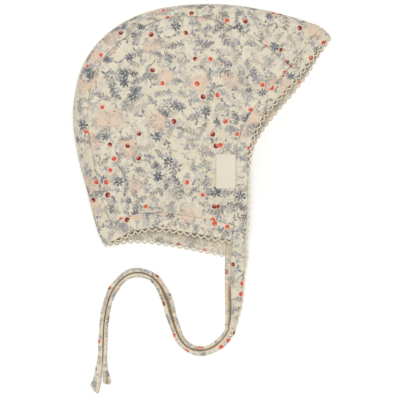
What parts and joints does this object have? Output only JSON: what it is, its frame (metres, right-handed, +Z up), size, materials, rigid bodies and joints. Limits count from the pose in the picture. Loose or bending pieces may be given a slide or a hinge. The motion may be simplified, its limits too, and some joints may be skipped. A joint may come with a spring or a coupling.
{
  "type": "baby bonnet with ties",
  "caption": "Soft jersey baby bonnet with a pointed forehead, looped edging on its face and neck openings and two narrow ties, lying on its side with the ties in an S curve.",
  "frame": {"origin": "on the surface that the bonnet lies on, under the middle of the box round the cap and its straps, without the ties", "axes": "+X towards the forehead tip, +Y towards the crown, +Z up, away from the surface and through the upper side panel"},
  "size_m": [0.1819, 0.2722, 0.0269],
  "materials": {
    "printed_jersey": "cream cotton jersey with a small blue-grey, peach and red floral print, matt",
    "printed_binding": "the same printed jersey folded and sewn into bands, straps and ties, matt",
    "loop_edging": "cream looped cotton thread, matt",
    "woven_label": "bare off-white woven tape, soft sheen"
  },
  "bodies": {
    "root": {"side_panel_upper": "printed_jersey", "side_panel_lower": "printed_jersey", "crown_strip": "printed_jersey", "front_band": "printed_binding", "neck_band": "printed_binding", "picot_front": "loop_edging", "picot_neck": "loop_edging", "picot_strap_upper": "loop_edging", "picot_strap_lower": "loop_edging", "strap_upper": "printed_binding", "strap_lower": "printed_binding", "tie_upper": "printed_binding", "tie_lower": "printed_binding", "label": "woven_label"}
  },
  "joints": []
}
